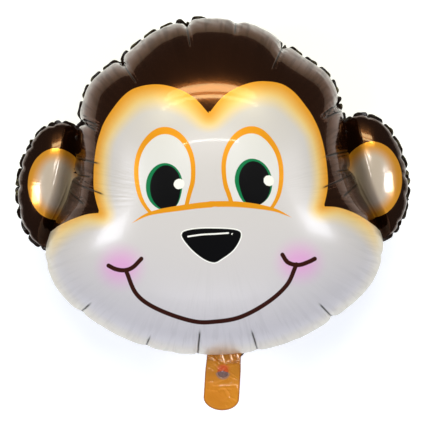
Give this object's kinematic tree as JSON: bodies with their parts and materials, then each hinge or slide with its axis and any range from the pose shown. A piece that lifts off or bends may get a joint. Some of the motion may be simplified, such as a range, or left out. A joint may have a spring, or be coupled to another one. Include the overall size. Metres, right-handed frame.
{
  "type": "foil balloon",
  "caption": "Gas-filled foil balloon shaped as a smiling ape's head with round ears, a crimped edge seam and a flat filling tail at the chin, lying face up.",
  "frame": {"origin": "middle of the flat spot that the balloon's back rests on", "axes": "+Z out of the face, +Y from the chin to the crown, +X to the right of someone who looks at the face"},
  "size_m": [0.6004, 0.5967, 0.27],
  "materials": {
    "printed_film": "glossy metallised film, dark brown round a pearl white and orange printed face",
    "tail_film": "glossy orange film with welded edges",
    "valve_film": "thin translucent valve film"
  },
  "bodies": {
    "root": {"foil_envelope": "printed_film", "filling_tail": "tail_film", "valve_strip": "valve_film"}
  },
  "joints": []
}
